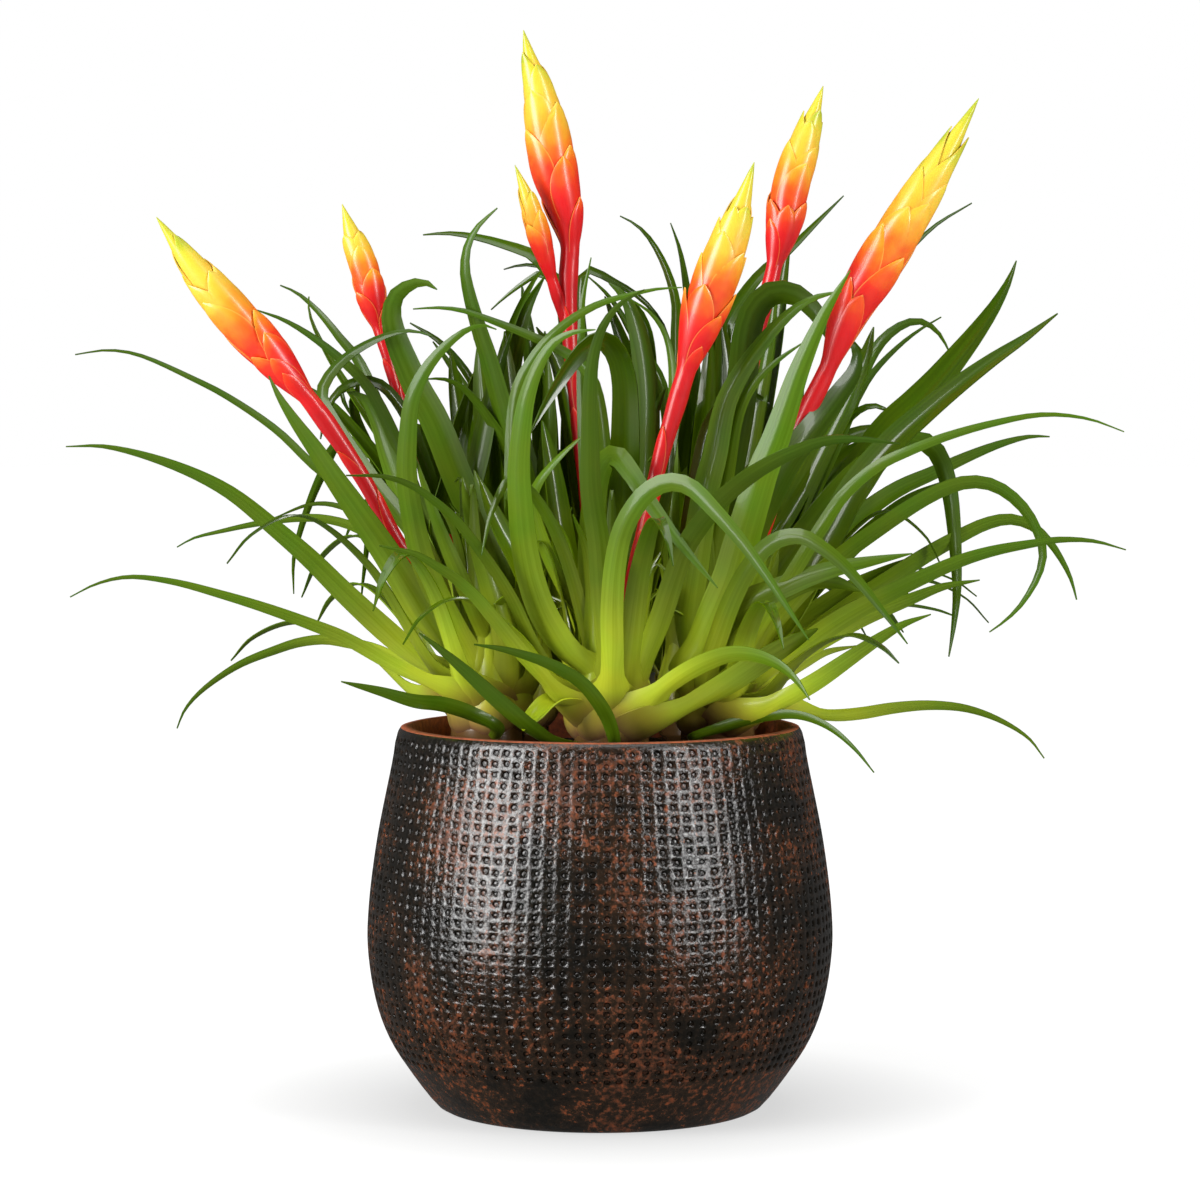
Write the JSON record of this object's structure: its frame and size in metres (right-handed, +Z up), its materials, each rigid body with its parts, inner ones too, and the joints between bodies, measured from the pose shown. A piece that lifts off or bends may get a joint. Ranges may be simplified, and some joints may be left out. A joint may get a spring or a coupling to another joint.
{
  "type": "potted bromeliad",
  "caption": "Clump of flaming sword bromeliads with long arching strap leaves and tall pointed flower spikes, planted in a round-bellied glazed clay pot with a dimpled wall.",
  "frame": {"origin": "centre of the underside of the pot's foot, on the surface that the pot stands on", "axes": "+Z up along the pot's axis, the plant's front towards -Y and its right-hand side, seen from the front, towards +X"},
  "size_m": [0.7293, 0.6052, 0.7545],
  "materials": {
    "glazed_clay": "glossy near-black glaze with rust-brown patches over terracotta",
    "potting_mix": "rough bark-based mix",
    "leaf": "smooth waxy green leaf",
    "bract": "glossy waxy bracts, red at the foot to yellow at the tip"
  },
  "bodies": {
    "root": {"clay_pot": "glazed_clay", "potting_mix": "potting_mix", "rosette_left_front": "leaf", "rosette_left_back": "leaf", "rosette_middle_back": "leaf", "rosette_middle_front": "leaf", "rosette_right_back": "leaf", "rosette_right_front": "leaf", "flower_spike_left_front": "bract", "flower_spike_left_back": "bract", "flower_spike_middle_back": "bract", "flower_spike_middle_front": "bract", "flower_spike_right_back": "bract", "flower_spike_right_front": "bract"}
  },
  "joints": []
}
